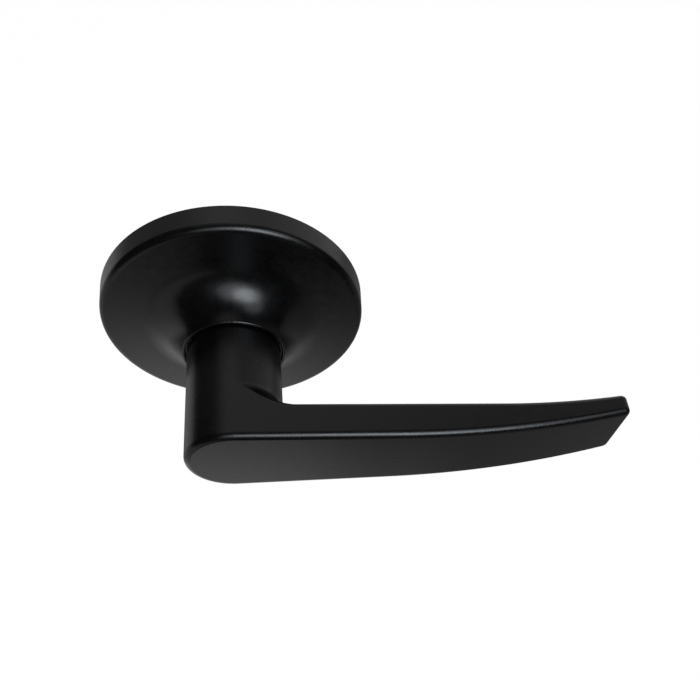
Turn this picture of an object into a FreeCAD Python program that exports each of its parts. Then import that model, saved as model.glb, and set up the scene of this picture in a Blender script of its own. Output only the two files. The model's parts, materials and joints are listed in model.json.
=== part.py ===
"""Passage lever trim: a round rose with its spring cage and the lever that turns in it.

The frame's origin lies on the turning axis, in the plane of the door's face. The rose and the
lever stand out from the door along -Y, the lever's blade points along +X and +Z is up. Depths
called "out" are measured from the door towards the user, so a point at depth d has y = -d.
All sizes are millimetres.
"""
import FreeCAD, Part
import math
import os

Vector = FreeCAD.Vector

# Rose: the pressed cover
ROSE_DIAMETER = 88.9
ROSE_WALL = 1.2
ROSE_RIM_DRAFT = 0.4
ROSE_RIM_ROUND = 2.2
ROSE_FACE_RISE_DEG = 3.0
ROSE_HEIGHT = 22.0
FLARE_LEAN_DEG = 8.0
LIP_GAP = 0.55

# Lever: one casting, a hollow neck that runs into a flat tapered blade
NECK_DIAMETER = 30.9
LEVER_PROJECTION = 63.1
LEVER_REACH = 126.2
BLADE_THICKNESS = 12.0
TIP_WIDTH = 22.7
TIP_CORNER_ROUND = 2.4
FRONT_ROUND = 2.0
BACK_ROUND = 1.5
FRONT_BEND_START = 50.3
FRONT_BEND_RADIUS = 359.0
BACK_BEND_START = 84.0
BACK_BEND_RADIUS = 288.0
NECK_FLARE_RADIUS = 8.0
FLARE_TIP_LENGTH = 1.5
NECK_WALL = 3.8
RELEASE_HOLE_DIAMETER = 3.2

# Drive tube, its keys and its retaining ring
TUBE_WALL = 1.9
TUBE_BACK = -1.2
TUBE_FRONT = 44.0
TUBE_END_GAP = 2.0
TUBE_FLANGE_WIDTH = 3.0
TUBE_FLANGE_THICKNESS = 1.4
KEY_WIDTH = 2.4
KEY_HEIGHT = 1.3
KEY_SLOT_END = 17.0
RING_THICKNESS = 0.6
RING_STANDOUT = 1.7
RING_GROOVE_DEPTH = 0.6
RING_OPENING_DEG = 40.0
RING_EYE_DIAMETER = 1.2

# Spring cage: the cast plate behind the rose
CAGE_WALL = 1.2
CAGE_EDGE_CHAMFER = 0.6
CHAMBER_DIAMETER = 57.2
COLLAR_SEAT_WIDTH = 2.15
COLLAR_RISE = 2.9
BOLT_SPACING = 69.85
CORE_INNER_RADIUS = 30.4
CORE_OUTER_RADIUS = 35.4
CORE_HALF_ANGLE_DEG = 27.0
CORE_FLOOR_THICKNESS = 1.8
LUG_INNER_RADIUS = 25.0
LUG_HALF_WIDTH = 3.6
STOP_INNER_RADIUS = 23.4
STOP_WIDTH_DEG = 12.0
TURN_LIMIT_DEG = 45.0
STOP_SPARE_DEG = 1.0

# Cover plate and its four screws
COVER_DIAMETER = 75.0
COVER_THICKNESS = 1.0
COVER_RING_GAP = 1.0
SCREW_CIRCLE_RADIUS = 33.0
SCREW_CIRCLE_TURN_DEG = 45.0
SCREW_COUNT = 4
SCREW_SHANK_DIAMETER = 2.9
SCREW_HEAD_DIAMETER = 5.2
SCREW_LENGTH = 5.0
SCREW_RECESS_WIDTH = 0.7
SCREW_RECESS_LENGTH = 2.8
SCREW_RECESS_DEPTH = 0.7

# Threaded posts that the through-bolts draw up to
POST_DIAMETER = 7.2
POST_HEAD_ACROSS_FLATS = 9.0
POST_HEAD_THICKNESS = 1.5
POST_STANDOUT = 4.0
POST_BORE_DIAMETER = 4.2
POST_BORE_DEPTH = 10.0
POST_BOSS_CLEARANCE = 2.8

# Driver plate and return spring
DRIVER_THICKNESS = 1.2
DRIVER_HUB_DIAMETER = 40.0
DRIVER_ARM_REACH = 27.6
DRIVER_ARM_HALF_WIDTH = 3.4
DRIVER_TAB_INNER_RADIUS = 22.5
DRIVER_TAB_OUTER_RADIUS = 24.5
SPRING_INNER_DIAMETER = 39.2
SPRING_STRIP_WIDTH = 2.2
SPRING_STRIP_THICKNESS = 1.1
SPRING_TURNS = 2
SPRING_COIL_GAP = 0.12
SPRING_HEADROOM = 0.26
SPRING_LEG_SWELL = 0.04
SPRING_LEG_REACH = 27.8

# Bearings
BUSHING_BORE_CLEARANCE = 0.05
BUSHING_WALL = 1.7
COLLAR_RING_NECK_GAP = 0.15
COLLAR_RING_FLANGE_WIDTH = 4.5
COLLAR_RING_FLANGE_THICKNESS = 1.4
COLLAR_RING_WALL = 0.8
COLLAR_RING_WALL_DROP = 3.4
COLLAR_RING_LIP_WALL = 0.3
COLLAR_RING_LIP_DROP = 1.0

# Clips that hold the rose
CLIP_COUNT = 3
CLIP_TURN_DEG = 0.0
CLIP_WIDTH = 8.0
CLIP_STRIP = 0.5
CLIP_FOOT_LENGTH = 5.0
CLIP_BEND_DEPTH = 4.4
CLIP_TAIL_DEPTH = 1.2
RIVET_SHANK_DIAMETER = 2.0
RIVET_HEAD_DIAMETER = 3.4
RIVET_HEAD_THICKNESS = 0.25
RIVET_LENGTH = 2.6

# Lever catch and its spring
CATCH_DEPTH = 30.0
CATCH_HEAD_DIAMETER = 4.8
CATCH_FLANGE_DIAMETER = 6.6
CATCH_FLANGE_THICKNESS = 1.0
CATCH_ENGAGEMENT = 1.9
CATCH_TIP_CHAMFER = 0.4
HOLDER_LENGTH = 11.0
HOLDER_END_WALL = 1.4
CATCH_SPRING_WIRE = 0.7
CATCH_SPRING_DIAMETER = 5.4
CATCH_SPRING_COILS = 5
CATCH_SPRING_WIRE_SIDES = 6

# Spindle and what holds it in the tube
SPINDLE_ACROSS_FLATS = 7.94
SPINDLE_BACK = 36.0
SPINDLE_CHAMFER = 1.0
SPINDLE_HUB_BACK = 3.0
SPINDLE_HUB_FRONT = 16.0
SPINDLE_PIN_DIAMETER = 3.0
SPINDLE_PIN_DEPTH = 12.5
SPINDLE_PIN_CHAMFER = 0.3

# Named clearances, and how far a shape runs into or past another so that a cut or join is clean
RUNNING_FIT = 0.05
LOCATING_FIT = 0.05
LOOSE_FIT = 0.2
FREE_GAP = 0.1
END_GAP = 0.3
CAGE_SIDE_GAP = 2.25
CAGE_FACE_GAP = 0.23
JOIN_DEPTH = 0.5
OVERRUN = 2.0
TOUCH = 0.01

# Radii that follow from one another, from the lever's neck inwards
NECK_RADIUS = NECK_DIAMETER / 2
LIP_RADIUS = NECK_RADIUS + LIP_GAP + ROSE_WALL
NECK_BORE_RADIUS = NECK_RADIUS - NECK_WALL
TUBE_RADIUS = NECK_BORE_RADIUS - RUNNING_FIT
TUBE_BORE_RADIUS = TUBE_RADIUS - TUBE_WALL
TUBE_FLANGE_RADIUS = TUBE_RADIUS + TUBE_FLANGE_WIDTH
RING_SEAT_RADIUS = TUBE_RADIUS - RING_GROOVE_DEPTH
RING_RADIUS = TUBE_RADIUS + RING_STANDOUT
BUSHING_BORE_RADIUS = TUBE_RADIUS + BUSHING_BORE_CLEARANCE
BUSHING_RADIUS = BUSHING_BORE_RADIUS + BUSHING_WALL
BUSHING_FLANGE_RADIUS = (BUSHING_RADIUS + SPRING_INNER_DIAMETER / 2) / 2
COLLAR_RING_BORE_RADIUS = NECK_RADIUS + COLLAR_RING_NECK_GAP
COLLAR_RADIUS = COLLAR_RING_BORE_RADIUS + COLLAR_SEAT_WIDTH
ROSE_RADIUS = ROSE_DIAMETER / 2
CAGE_RADIUS = ROSE_RADIUS - ROSE_WALL - CAGE_SIDE_GAP
CHAMBER_RADIUS = CHAMBER_DIAMETER / 2
COVER_RADIUS = COVER_DIAMETER / 2
COVER_HOLE_RADIUS = RING_RADIUS + COVER_RING_GAP
BOLT_RADIUS = BOLT_SPACING / 2

# Depths that stack up from the door to the rose's rim, and on the lever
DRIVER_BACK = COVER_THICKNESS + FREE_GAP
DRIVER_FRONT = DRIVER_BACK + DRIVER_THICKNESS
RING_FRONT = DRIVER_BACK - FREE_GAP / 2
RING_BACK = RING_FRONT - RING_THICKNESS
TUBE_FLANGE_FRONT = DRIVER_FRONT + TUBE_FLANGE_THICKNESS
BUSHING_BACK = TUBE_FLANGE_FRONT + FREE_GAP
SPRING_BACK = DRIVER_FRONT + FREE_GAP
SPRING_PITCH = SPRING_STRIP_THICKNESS + SPRING_COIL_GAP
SPRING_FRONT = SPRING_BACK + SPRING_TURNS * SPRING_PITCH + SPRING_STRIP_THICKNESS
CHAMBER_FLOOR = SPRING_FRONT + SPRING_HEADROOM
CAGE_DEPTH = CHAMBER_FLOOR + CAGE_WALL
COLLAR_HEIGHT = CAGE_DEPTH + COLLAR_RISE
ROSE_RIM_HEIGHT = CAGE_DEPTH + CAGE_FACE_GAP + ROSE_WALL
NECK_BACK = COLLAR_HEIGHT + END_GAP
NECK_BORE_END = TUBE_FRONT + TUBE_END_GAP
BLADE_BACK = LEVER_PROJECTION - BLADE_THICKNESS
NECK_FLARE_START = BLADE_BACK - NECK_FLARE_RADIUS

# The clips' seats, and the catch and its holder
CLIP_WALL_RADIUS = CAGE_RADIUS + FREE_GAP
CLIP_RIVET_RADIUS = CLIP_WALL_RADIUS - CLIP_FOOT_LENGTH / 2
CLIP_TOP = CAGE_DEPTH - FREE_GAP / 2
CATCH_TIP_RADIUS = TUBE_RADIUS + CATCH_ENGAGEMENT
CATCH_FLANGE_RADIUS = CATCH_FLANGE_DIAMETER / 2
CATCH_FLANGE_LOW = math.sqrt(TUBE_BORE_RADIUS ** 2 - CATCH_FLANGE_RADIUS ** 2) - LOOSE_FIT
CATCH_FLANGE_TOP = CATCH_FLANGE_LOW - CATCH_FLANGE_THICKNESS
HOLDER_RADIUS = TUBE_BORE_RADIUS - LOCATING_FIT
POST_HEAD_BACK = CAGE_DEPTH - POST_HEAD_THICKNESS - FREE_GAP


def profile_point(radius, out):
    """A point of a section that is turned about the lever's axis."""
    return Vector(radius, -out, 0)


def polar(radius, turn_deg, out=0.0):
    """A point at a radius and a turn about the axis, counted from +X towards +Z."""
    turn = math.radians(turn_deg)
    return Vector(radius * math.cos(turn), -out, radius * math.sin(turn))


def loop(points):
    """A closed wire through the points."""
    return Part.makePolygon(points + [points[0]])


def turned(wire):
    """The solid that a section makes when it turns once about the lever's axis."""
    return Part.Face(wire).revolve(Vector(0, 0, 0), Vector(0, 1, 0), 360)


def drum(radius, low, high, x=0.0, z=0.0):
    """A cylinder about a line along Y, between two depths."""
    return Part.makeCylinder(radius, high - low, Vector(x, -low, z), Vector(0, -1, 0))


def ring(inner, outer, low, high):
    """A flat ring about the lever's axis."""
    return drum(outer, low, high).cut(drum(inner, low - OVERRUN, high + OVERRUN))


def block(x_low, x_high, out_low, out_high, z_low, z_high):
    """A box given by its limits."""
    corner = Vector(x_low, -out_high, z_low)
    return Part.makeBox(x_high - x_low, out_high - out_low, z_high - z_low, corner)


def turned_copy(shape, turn_deg):
    """A copy turned about the lever's axis, from +X towards +Z."""
    copy = shape.copy()
    copy.rotate(Vector(0, 0, 0), Vector(0, -1, 0), turn_deg)
    return copy


def sector(inner, outer, low, high, middle_deg, width_deg):
    """A piece of a flat ring, centred on one turn."""
    start = polar(inner, middle_deg - width_deg / 2, low)
    first = Part.Face(loop([
        start,
        polar(outer, middle_deg - width_deg / 2, low),
        polar(outer, middle_deg - width_deg / 2, high),
        polar(inner, middle_deg - width_deg / 2, high),
    ]))
    return first.revolve(Vector(0, 0, 0), Vector(0, -1, 0), width_deg)


def single(shape):
    """The one solid of a boolean result, with its seam faces joined."""
    return shape.removeSplitter().Solids[0]


def edges_where(shape, test):
    """The shape's edges whose midpoint passes a test."""
    return [edge for edge in shape.Edges
            if test(edge.valueAt((edge.FirstParameter + edge.LastParameter) / 2))]


def corner_arc(before, corner, after, radius):
    """Start, middle and end of the arc that rounds the corner between two straight lines."""
    back = (before - corner).normalize()
    ahead = (after - corner).normalize()
    half = back.getAngle(ahead) / 2
    inward = (back + ahead).normalize()
    run = radius / math.tan(half)
    middle = corner + inward * (radius / math.sin(half) - radius)
    return corner + back * run, middle, corner + ahead * run


def rose_side(inset):
    """The points of one side of the rose's wall, from the base to the lip.

    The section runs from the base up the drafted rim, over the face, which rises a little
    towards the middle, and up the concave flare to the lip. The inner side lies inset by
    the wall.
    """
    rise = math.radians(ROSE_FACE_RISE_DEG)
    lean = math.radians(FLARE_LEAN_DEG)
    slope = math.tan(rise)
    slant = math.hypot(1.0, slope)
    draft = ROSE_RIM_DRAFT / ROSE_RIM_HEIGHT
    half_wall = ROSE_WALL / 2
    lip_radius = LIP_RADIUS - half_wall
    lip_height = ROSE_HEIGHT - half_wall
    lean_climb = math.sin(lean) + slope * math.cos(lean)
    face_at_lip = ROSE_RIM_HEIGHT + (ROSE_RADIUS - ROSE_RIM_DRAFT - lip_radius) * slope
    flare = (lip_height - face_at_lip + half_wall * lean_climb) / (slant - lean_climb)
    centre_radius = lip_radius + (flare + half_wall) * math.cos(lean)
    centre_height = lip_height + (flare + half_wall) * math.sin(lean)
    reach = flare + inset

    def on_flare(angle):
        return profile_point(centre_radius - reach * math.cos(angle),
                             centre_height - reach * math.sin(angle))

    foot_angle = math.pi / 2 - rise
    foot = on_flare(foot_angle)
    corner_height = ROSE_RIM_HEIGHT + (inset - ROSE_RIM_DRAFT) * slope - inset * slant
    corner_height = corner_height / (1 - draft * slope)
    corner = profile_point(ROSE_RADIUS - inset - draft * corner_height, corner_height)
    heel = profile_point(ROSE_RADIUS - inset, 0)
    rim_start, rim_middle, rim_end = corner_arc(heel, corner, foot, ROSE_RIM_ROUND - inset)
    return {
        "heel": heel,
        "rim_start": rim_start,
        "rim_middle": rim_middle,
        "rim_end": rim_end,
        "foot": foot,
        "flare_middle": on_flare((lean + foot_angle) / 2),
        "lip": on_flare(lean),
    }


def side_edges(side):
    """The edges of one side of the rose's wall: rim, rim round, face and flare."""
    return [
        Part.LineSegment(side["heel"], side["rim_start"]).toShape(),
        Part.Arc(side["rim_start"], side["rim_middle"], side["rim_end"]).toShape(),
        Part.LineSegment(side["rim_end"], side["foot"]).toShape(),
        Part.Arc(side["foot"], side["flare_middle"], side["lip"]).toShape(),
    ]


def rose():
    """The pressed cover: drafted rim, shallow face, flared collar and a full round at the lip."""
    outside = rose_side(0.0)
    inside = rose_side(ROSE_WALL)
    lean = math.radians(FLARE_LEAN_DEG)
    lip_middle = (outside["lip"] + inside["lip"]) / 2
    lip_top = lip_middle + profile_point(-math.sin(lean), math.cos(lean)) * (ROSE_WALL / 2)
    edges = side_edges(outside) + [Part.Arc(outside["lip"], lip_top, inside["lip"]).toShape()]
    edges += side_edges(inside)[::-1] + [Part.LineSegment(inside["heel"], outside["heel"]).toShape()]
    return turned(Part.Wire(edges))


def lever_outline(thick_low, thick_high):
    """The blade's front outline as a prism: a half round hub and two straight tapered sides."""
    half_tip = TIP_WIDTH / 2
    far = math.hypot(LEVER_REACH, half_tip)
    touch = math.atan2(half_tip, LEVER_REACH) + math.acos(NECK_RADIUS / far)
    upper = polar(NECK_RADIUS, math.degrees(touch), thick_low)
    lower = polar(NECK_RADIUS, -math.degrees(touch), thick_low)
    heel = Vector(-NECK_RADIUS, -thick_low, 0)
    tip_top = Vector(LEVER_REACH, -thick_low, half_tip)
    tip_low = Vector(LEVER_REACH, -thick_low, -half_tip)
    wire = Part.Wire([
        Part.Arc(upper, heel, lower).toShape(),
        Part.LineSegment(lower, tip_low).toShape(),
        Part.LineSegment(tip_low, tip_top).toShape(),
        Part.LineSegment(tip_top, upper).toShape(),
    ])
    prism = Part.Face(wire).extrude(Vector(0, thick_low - thick_high, 0))
    corners = edges_where(prism, lambda p: abs(p.x - LEVER_REACH) < TOUCH
                          and abs(abs(p.z) - half_tip) < TOUCH)
    return prism.makeFillet(TIP_CORNER_ROUND, corners)


def bend(start, flat, radius, x):
    """Depth of a blade face at x: flat up to the start, then an arc that falls to the door."""
    run = max(0.0, x - start)
    return flat - radius + math.sqrt(radius ** 2 - run ** 2)


def blade_profile():
    """The blade as seen from above, front and back face both curving towards the door."""
    left = -NECK_RADIUS - OVERRUN
    right = LEVER_REACH + OVERRUN
    side = NECK_RADIUS + OVERRUN

    def front(x):
        return Vector(x, -bend(FRONT_BEND_START, LEVER_PROJECTION, FRONT_BEND_RADIUS, x), -side)

    def back(x):
        return Vector(x, -bend(BACK_BEND_START, BLADE_BACK, BACK_BEND_RADIUS, x), -side)

    wire = Part.Wire([
        Part.LineSegment(front(left), front(FRONT_BEND_START)).toShape(),
        Part.Arc(front(FRONT_BEND_START), front((FRONT_BEND_START + right) / 2), front(right)).toShape(),
        Part.LineSegment(front(right), back(right)).toShape(),
        Part.Arc(back(right), back((BACK_BEND_START + right) / 2), back(BACK_BEND_START)).toShape(),
        Part.LineSegment(back(BACK_BEND_START), back(left)).toShape(),
        Part.LineSegment(back(left), front(left)).toShape(),
    ])
    return Part.Face(wire).extrude(Vector(0, 0, 2 * side))


def blade():
    """The blade with sharp edges: its outline and its bent profile, each cut by the other."""
    lowest = bend(BACK_BEND_START, BLADE_BACK, BACK_BEND_RADIUS, LEVER_REACH)
    outline = lever_outline(lowest - OVERRUN, LEVER_PROJECTION + OVERRUN)
    return single(blade_profile().common(outline))


def neck():
    """The round neck and the concave flare that carries it into the blade's back."""
    flare_end = NECK_RADIUS + NECK_FLARE_RADIUS
    root = BLADE_BACK + BLADE_THICKNESS / 2
    diagonal = NECK_FLARE_RADIUS * math.sqrt(0.5)
    low_centre = profile_point(0, NECK_FLARE_START)
    low_edge = profile_point(NECK_RADIUS, NECK_FLARE_START)
    flare_middle = profile_point(flare_end - diagonal, NECK_FLARE_START + diagonal)
    flare_rim = profile_point(flare_end, BLADE_BACK)
    root_edge = profile_point(flare_end, root)
    root_centre = profile_point(0, root)
    section = Part.Wire([
        Part.LineSegment(low_centre, low_edge).toShape(),
        Part.Arc(low_edge, flare_middle, flare_rim).toShape(),
        Part.LineSegment(flare_rim, root_edge).toShape(),
        Part.LineSegment(root_edge, root_centre).toShape(),
        Part.LineSegment(root_centre, low_centre).toShape(),
    ])
    flare = turned(section).common(lever_outline(NECK_FLARE_START - OVERRUN, LEVER_PROJECTION))
    return flare.fuse(drum(NECK_RADIUS, NECK_BACK, root))


def flare_tips():
    """The two spots on the neck where the back round would thin out to nothing."""
    start = NECK_FLARE_START - JOIN_DEPTH
    stop = NECK_FLARE_START + FLARE_TIP_LENGTH
    climb = NECK_FLARE_RADIUS - math.sqrt(NECK_FLARE_RADIUS ** 2 - FLARE_TIP_LENGTH ** 2)
    half = 2 * math.sqrt((NECK_RADIUS + climb) ** 2 - NECK_RADIUS ** 2)
    upper = block(-half, half, start, stop, NECK_RADIUS - OVERRUN, NECK_RADIUS + OVERRUN)
    lower = block(-half, half, start, stop, -NECK_RADIUS - OVERRUN, -NECK_RADIUS + OVERRUN)
    return upper.fuse(lower)


def rounded(casting):
    """The casting with its front and back outline rounded.

    The back round starts at the blade's back edges and runs on along the flare's edge towards
    the neck. The last stretch, where it is too thin to make, stays as it is.
    """
    beyond_flare = NECK_RADIUS + NECK_FLARE_RADIUS + TOUCH

    def is_front(point):
        depth = bend(FRONT_BEND_START, LEVER_PROJECTION, FRONT_BEND_RADIUS, point.x)
        return abs(-point.y - depth) < TOUCH and abs(point.x - FRONT_BEND_START) > TOUCH

    def is_back(point):
        depth = bend(BACK_BEND_START, BLADE_BACK, BACK_BEND_RADIUS, point.x)
        return (abs(-point.y - depth) < TOUCH and abs(point.x - BACK_BEND_START) > TOUCH
                and math.hypot(point.x, point.z) > beyond_flare)

    smooth = casting.makeFillet(FRONT_ROUND, edges_where(casting, is_front))
    smooth = smooth.makeFillet(BACK_ROUND, edges_where(smooth, is_back))
    tips = flare_tips()
    return single(smooth.cut(tips).fuse(casting.common(tips)))


def lever_handle():
    """The lever casting with its bore, two drive keys and the catch's pocket and hole."""
    casting = rounded(single(blade().fuse(neck())))
    casting = casting.cut(drum(NECK_BORE_RADIUS, NECK_BACK - OVERRUN, NECK_BORE_END))
    key_top = NECK_BORE_RADIUS - KEY_HEIGHT
    keys = block(-NECK_RADIUS, NECK_RADIUS, KEY_SLOT_END + END_GAP, NECK_BORE_END,
                 -KEY_WIDTH / 2, KEY_WIDTH / 2)
    keys = keys.common(ring(key_top, NECK_BORE_RADIUS + FREE_GAP, KEY_SLOT_END, NECK_BORE_END))
    casting = casting.fuse(keys)
    pocket_top = CATCH_TIP_RADIUS + LOOSE_FIT
    pocket = Part.makeCylinder(CATCH_HEAD_DIAMETER / 2 + LOOSE_FIT, pocket_top,
                               Vector(0, -CATCH_DEPTH, 0), Vector(0, 0, -1))
    hole = Part.makeCylinder(RELEASE_HOLE_DIAMETER / 2, NECK_RADIUS + OVERRUN,
                             Vector(0, -CATCH_DEPTH, 0), Vector(0, 0, -1))
    return single(casting.cut(pocket).cut(hole))


def drive_tube():
    """The tube that carries the lever: key slots, catch window, ring groove and a flange."""
    tube = drum(TUBE_RADIUS, TUBE_BACK, TUBE_FRONT)
    tube = tube.fuse(drum(TUBE_FLANGE_RADIUS, DRIVER_FRONT, TUBE_FLANGE_FRONT))
    tube = tube.cut(drum(TUBE_BORE_RADIUS, TUBE_BACK - OVERRUN, TUBE_FRONT + OVERRUN))
    slot_half = KEY_WIDTH / 2 + FREE_GAP
    tube = tube.cut(block(-2 * TUBE_RADIUS, 2 * TUBE_RADIUS, KEY_SLOT_END, TUBE_FRONT + OVERRUN,
                          -slot_half, slot_half))
    window = Part.makeCylinder(CATCH_HEAD_DIAMETER / 2 + RUNNING_FIT, TUBE_RADIUS + OVERRUN,
                               Vector(0, -CATCH_DEPTH, 0), Vector(0, 0, -1))
    tube = tube.cut(window)
    tube = tube.cut(ring(RING_SEAT_RADIUS, TUBE_RADIUS + OVERRUN, RING_BACK - LOCATING_FIT, DRIVER_BACK))
    tube = tube.cut(driver_flats(TUBE_RADIUS + OVERRUN, 0.0))
    return single(tube.cut(spindle_pin_hole()))


def driver_flats(reach, clearance):
    """The two segments cut from the tube where the driver's hole grips it."""
    flat = RING_SEAT_RADIUS + clearance
    upper = block(-reach, reach, DRIVER_BACK, DRIVER_FRONT, flat, reach)
    lower = block(-reach, reach, DRIVER_BACK, DRIVER_FRONT, -reach, -flat)
    return upper.fuse(lower)


def retaining_ring():
    """The open ring in the tube's groove, behind the driver, with two eyes for pliers."""
    inner = RING_SEAT_RADIUS + LOCATING_FIT
    body = ring(inner, RING_RADIUS, RING_BACK, RING_FRONT)
    body = body.cut(sector(TUBE_BORE_RADIUS, RING_RADIUS + OVERRUN, RING_BACK - OVERRUN,
                           RING_FRONT + OVERRUN, 0.0, RING_OPENING_DEG))
    middle = (inner + RING_RADIUS) / 2
    for side in (-1, 1):
        eye = polar(middle, side * (RING_OPENING_DEG / 2 + math.degrees(RING_EYE_DIAMETER / middle)))
        body = body.cut(drum(RING_EYE_DIAMETER / 2, RING_BACK - OVERRUN, RING_FRONT + OVERRUN,
                             eye.x, eye.z))
    return single(body)


def spring_cage():
    """The cast plate: spring chamber, collar, stops, spring lug, cored pockets and seats."""
    cage = drum(CAGE_RADIUS, 0.0, CAGE_DEPTH)
    cage = cage.makeChamfer(CAGE_EDGE_CHAMFER, edges_where(cage, lambda p: abs(p.y + CAGE_DEPTH) < TOUCH))
    cage = cage.fuse(drum(COLLAR_RADIUS, CAGE_DEPTH - JOIN_DEPTH, COLLAR_HEIGHT))
    cage = cage.cut(drum(CHAMBER_RADIUS, -OVERRUN, CHAMBER_FLOOR))
    cage = cage.cut(cover_recess())
    cage = cage.cut(drum(BUSHING_RADIUS + LOCATING_FIT, -OVERRUN, COLLAR_HEIGHT + OVERRUN))
    for side in (0.0, 180.0):
        cage = cage.cut(sector(CORE_INNER_RADIUS, CORE_OUTER_RADIUS, -OVERRUN,
                               CAGE_DEPTH - CORE_FLOOR_THICKNESS, side, 2 * CORE_HALF_ANGLE_DEG))
    cage = cage.fuse(spring_lug())
    cage = cage.fuse(turn_stops())
    for turn in screw_turns():
        place = polar(SCREW_CIRCLE_RADIUS, turn)
        cage = cage.cut(drum(SCREW_SHANK_DIAMETER / 2 + LOCATING_FIT, -OVERRUN,
                             SCREW_LENGTH + END_GAP, place.x, place.z))
    for side in (-1, 1):
        cage = cage.cut(post_seat(side))
    for turn in clip_turns():
        cage = cage.cut(clip_seat(turn))
    return single(cage)


def cover_recess():
    """The step in the cage's back that the cover drops into, with a boss left at each post."""
    step = drum(COVER_RADIUS + LOOSE_FIT, -OVERRUN, COVER_THICKNESS)
    for side in (-1, 1):
        step = step.cut(drum(POST_DIAMETER / 2 + POST_BOSS_CLEARANCE - LOOSE_FIT, -OVERRUN,
                             CAGE_DEPTH, 0.0, side * BOLT_RADIUS))
    return step


def spring_lug():
    """The fixed lug on the +X side that both spring legs rest against."""
    lug = block(LUG_INNER_RADIUS, CHAMBER_RADIUS + JOIN_DEPTH, DRIVER_FRONT + FREE_GAP,
                CAGE_DEPTH - JOIN_DEPTH, -LUG_HALF_WIDTH, LUG_HALF_WIDTH)
    return lug.common(drum(CHAMBER_RADIUS + JOIN_DEPTH, 0.0, CAGE_DEPTH))


def turn_stops():
    """The two stops on the -X side that end the driver arm's turn."""
    arm_half = math.degrees(math.asin(DRIVER_ARM_HALF_WIDTH / STOP_INNER_RADIUS))
    offset = arm_half + TURN_LIMIT_DEG + STOP_SPARE_DEG + STOP_WIDTH_DEG / 2
    stops = [
        sector(STOP_INNER_RADIUS, CHAMBER_RADIUS + JOIN_DEPTH, COVER_THICKNESS,
               CAGE_DEPTH - JOIN_DEPTH, 180.0 + side * offset, STOP_WIDTH_DEG)
        for side in (-1, 1)
    ]
    return stops[0].fuse(stops[1])


def screw_turns():
    """Where the cover screws stand round the axis."""
    return [SCREW_CIRCLE_TURN_DEG + index * 360.0 / SCREW_COUNT for index in range(SCREW_COUNT)]


def clip_turns():
    """Where the rose clips stand round the axis."""
    return [CLIP_TURN_DEG + index * 360.0 / CLIP_COUNT for index in range(CLIP_COUNT)]


def cage_cover():
    """The pressed steel plate that closes the spring chamber from behind."""
    plate = drum(COVER_RADIUS, 0.0, COVER_THICKNESS)
    plate = plate.cut(drum(COVER_HOLE_RADIUS, -OVERRUN, COVER_THICKNESS + OVERRUN))
    for side in (-1, 1):
        plate = plate.cut(drum(POST_DIAMETER / 2 + POST_BOSS_CLEARANCE, -OVERRUN,
                               COVER_THICKNESS + OVERRUN, 0.0, side * BOLT_RADIUS))
    for turn in screw_turns():
        place = polar(SCREW_CIRCLE_RADIUS, turn)
        seat = Part.makeCone(SCREW_HEAD_DIAMETER / 2 + LOCATING_FIT,
                             SCREW_SHANK_DIAMETER / 2 + LOCATING_FIT, COVER_THICKNESS,
                             Vector(place.x, 0, place.z), Vector(0, -1, 0))
        plate = plate.cut(seat)
    return single(plate)


def cover_screws():
    """The four countersunk screws of the cover, as separate solids of one group."""
    screws = []
    for turn in screw_turns():
        place = polar(SCREW_CIRCLE_RADIUS, turn)
        head = Part.makeCone(SCREW_HEAD_DIAMETER / 2, SCREW_SHANK_DIAMETER / 2, COVER_THICKNESS,
                             Vector(place.x, 0, place.z), Vector(0, -1, 0))
        screw = head.fuse(drum(SCREW_SHANK_DIAMETER / 2, COVER_THICKNESS, SCREW_LENGTH,
                               place.x, place.z))
        for across, along in ((SCREW_RECESS_WIDTH, SCREW_RECESS_LENGTH),
                              (SCREW_RECESS_LENGTH, SCREW_RECESS_WIDTH)):
            screw = screw.cut(block(place.x - across / 2, place.x + across / 2, -OVERRUN,
                                    SCREW_RECESS_DEPTH, place.z - along / 2, place.z + along / 2))
        screws.append(single(screw))
    return Part.makeCompound(screws)


def hexagon(across_flats, low, high, z):
    """A hexagonal prism about a line along Y."""
    radius = across_flats / math.sqrt(3)
    corners = []
    for index in range(6):
        turn = math.radians(60.0 * index)
        corners.append(Vector(radius * math.cos(turn), -low, z + radius * math.sin(turn)))
    return Part.Face(loop(corners)).extrude(Vector(0, low - high, 0))


def post_seat(side):
    """The through hole and the hexagonal seat for one threaded post."""
    z = side * BOLT_RADIUS
    hole = drum(POST_DIAMETER / 2 + LOCATING_FIT, -OVERRUN, CAGE_DEPTH, 0.0, z)
    seat = hexagon(POST_HEAD_ACROSS_FLATS + 2 * LOCATING_FIT, POST_HEAD_BACK,
                   CAGE_DEPTH + OVERRUN, z)
    return hole.fuse(seat)


def bolt_post(side):
    """A threaded post whose hexagonal head sits in the cage and takes the bolt's pull."""
    z = side * BOLT_RADIUS
    head_front = POST_HEAD_BACK + POST_HEAD_THICKNESS
    post = hexagon(POST_HEAD_ACROSS_FLATS, POST_HEAD_BACK, head_front, z)
    post = post.fuse(drum(POST_DIAMETER / 2, -POST_STANDOUT, POST_HEAD_BACK, 0.0, z))
    bore = drum(POST_BORE_DIAMETER / 2, -POST_STANDOUT - OVERRUN,
                POST_BORE_DEPTH - POST_STANDOUT, 0.0, z)
    return single(post.cut(bore))


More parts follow.
